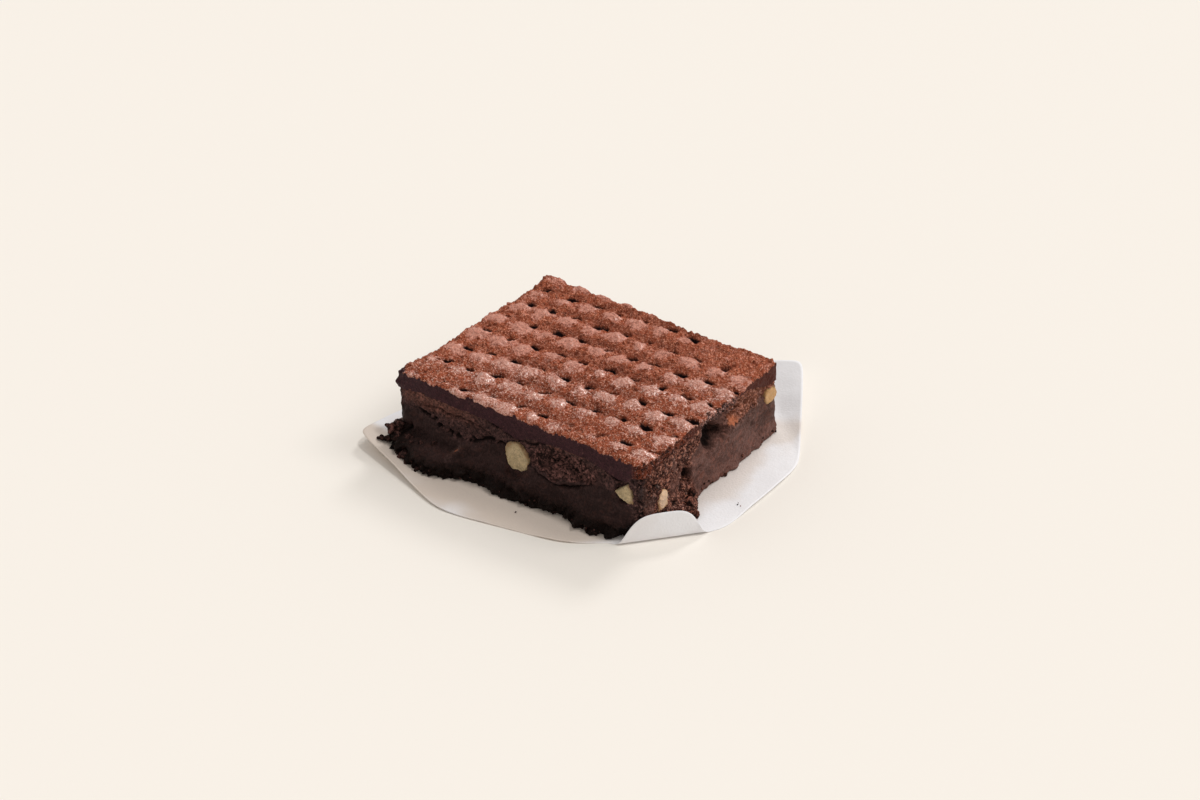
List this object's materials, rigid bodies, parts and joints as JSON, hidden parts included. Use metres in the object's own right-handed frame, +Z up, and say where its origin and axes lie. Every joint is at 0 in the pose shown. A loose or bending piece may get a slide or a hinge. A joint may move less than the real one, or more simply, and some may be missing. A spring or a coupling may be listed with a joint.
{
  "type": "chocolate brownie",
  "caption": "Square of layered chocolate brownie with a dark icing pressed into domes, nut pieces in its cut sides and a lifted sheet of greaseproof paper under it.",
  "frame": {"origin": "on the surface that the paper lies on, under the middle of the cake", "axes": "+X along the cake's long side, +Y along its short side, +Z up"},
  "size_m": [0.1104, 0.1197, 0.0266],
  "materials": {
    "icing": "cocoa-dusted matt top over a dark satin icing edge",
    "crumb": "porous reddish-brown cake crumb",
    "fudge": "dense, smeared dark fudge with a ragged foot",
    "nut": "pale chopped nut with brown skin at its rim",
    "paper": "plain white greaseproof paper"
  },
  "bodies": {
    "root": {"paper_sheet": "paper", "fudge_base": "fudge", "crumb_layer": "crumb", "icing_top": "icing", "nut_front_mid": "nut", "nut_front_corner": "nut", "nut_side_low": "nut", "nut_side_far": "nut", "nut_back_wide": "nut", "nut_back_small": "nut", "nut_left_mid": "nut"}
  },
  "joints": []
}
